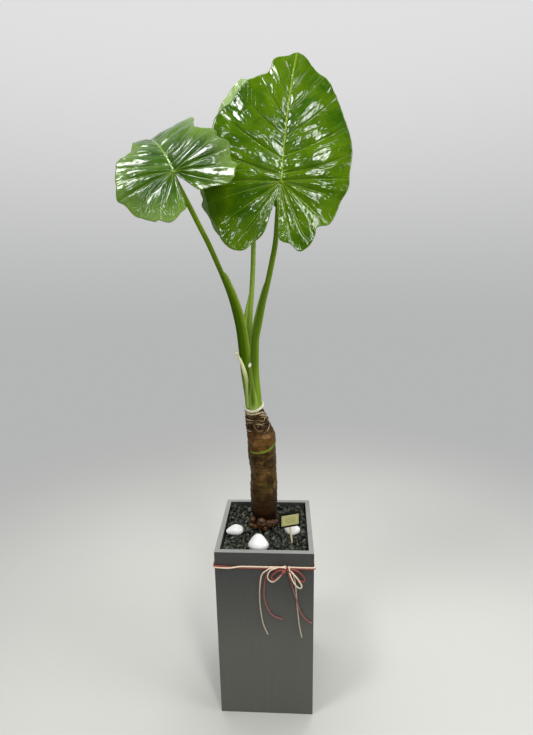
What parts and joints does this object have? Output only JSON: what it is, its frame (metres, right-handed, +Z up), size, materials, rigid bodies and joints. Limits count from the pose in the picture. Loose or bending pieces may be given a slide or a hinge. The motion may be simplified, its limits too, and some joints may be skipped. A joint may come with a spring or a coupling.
{
  "type": "potted alocasia plant",
  "caption": "Potted alocasia in a tall square planter: broad quilted leaves on long stalks above a ringed trunk, gravel topping, white pebbles, a plant tag and a two-colour cord bow.",
  "frame": {"origin": "centre of the planter's base, on the surface it stands on", "axes": "+Z up; the planter's front face, with the bow, looks along -Y; +X is to the right of a viewer in front"},
  "size_m": [0.4133, 0.2389, 1.343],
  "materials": {
    "planter": "matte",
    "soil": "matte",
    "gravel": "satin",
    "pebble": "polished",
    "trunk": "matte",
    "stalk": "satin",
    "dry_sheath": "matte",
    "leaf": "gloss",
    "tag_board": "matte",
    "tag_label": "matte",
    "tag_stick": "matte",
    "cord_cream": "matte",
    "cord_red": "matte"
  },
  "bodies": {
    "root": {"planter": "planter", "soil": "soil", "gravel": "gravel", "pebble_left": "pebble", "pebble_front": "pebble", "pebble_right": "pebble", "trunk": "trunk", "petiole_left": "stalk", "petiole_back": "stalk", "petiole_front": "stalk", "petiole_stub": "stalk", "dry_sheath": "dry_sheath", "blade_left": "leaf", "blade_back": "leaf", "blade_front": "leaf", "tag_board": "tag_board", "tag_label": "tag_label", "tag_stick": "tag_stick", "tie_band_cream": "cord_cream", "tie_band_red": "cord_red", "tie_knot": "cord_red", "tie_loop_cream_left": "cord_cream", "tie_loop_cream_right": "cord_cream", "tie_loop_red_left": "cord_red", "tie_loop_red_right": "cord_red", "tie_tail_cream_left": "cord_cream", "tie_tail_cream_right": "cord_cream", "tie_tail_red_left": "cord_red", "tie_tail_red_right": "cord_red"}
  },
  "joints": []
}
